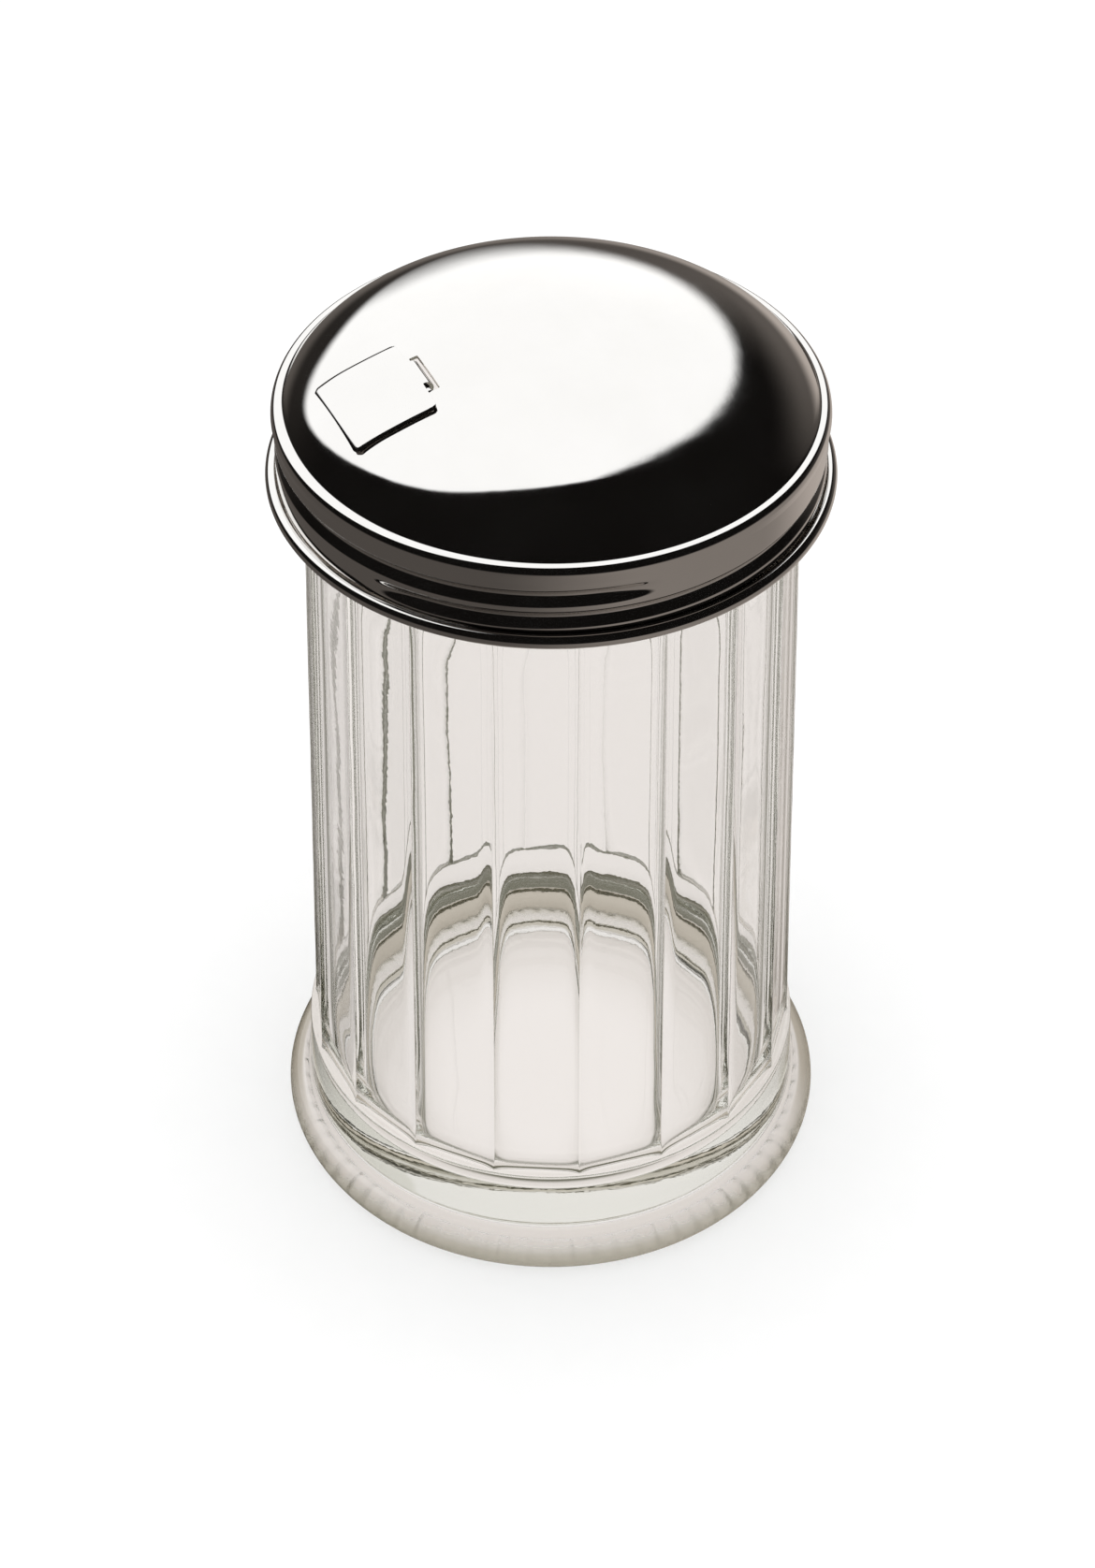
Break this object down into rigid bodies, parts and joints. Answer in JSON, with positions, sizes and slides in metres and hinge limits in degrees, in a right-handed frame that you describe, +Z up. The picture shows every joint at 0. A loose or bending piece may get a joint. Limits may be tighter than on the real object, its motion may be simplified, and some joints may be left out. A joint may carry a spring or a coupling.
{
  "type": "sugar bowl",
  "caption": "Fluted clear glass sugar pourer with a screw-on domed steel lid and a swinging pour flap.",
  "frame": {"origin": "centre of the jar's resting ring, on the table plane", "axes": "+Z up along the jar; the pour flap points along -Y and its hinge axis is parallel to X"},
  "size_m": [0.0804, 0.0804, 0.1408],
  "materials": {
    "glass": "clear pressed soda-lime glass with a faint green cast, glossy",
    "lid_steel": "mirror-polished stainless steel sheet with very fine polishing lines",
    "flap_steel": "mirror-polished stainless steel sheet",
    "seal": "milky soft polyethylene"
  },
  "bodies": {
    "jar": {"jar": "glass"},
    "seal": {"seal_ring": "seal"},
    "lid": {"lid": "lid_steel"},
    "flap": {"flap": "flap_steel"}
  },
  "joints": [
    {"name": "lid_rise", "type": "slide", "parent": "jar", "child": "seal", "axis": [0, 0, 1], "range_m": [0, 0.01195]},
    {"name": "lid_turn", "type": "hinge", "parent": "seal", "child": "lid", "pos_m": [0, 0, 0.1245], "axis": [0, 0, 1], "range_deg": [0, 1260]},
    {"name": "flap_swing", "type": "hinge", "parent": "lid", "child": "flap", "pos_m": [0, -0.0187, 0.13825], "axis": [-1, 0, 0], "range_deg": [0, 70]}
  ],
  "couplings": [
    {"joint": "lid_rise", "follows": "lid_turn", "m_per_rad": 0.00054113}
  ]
}
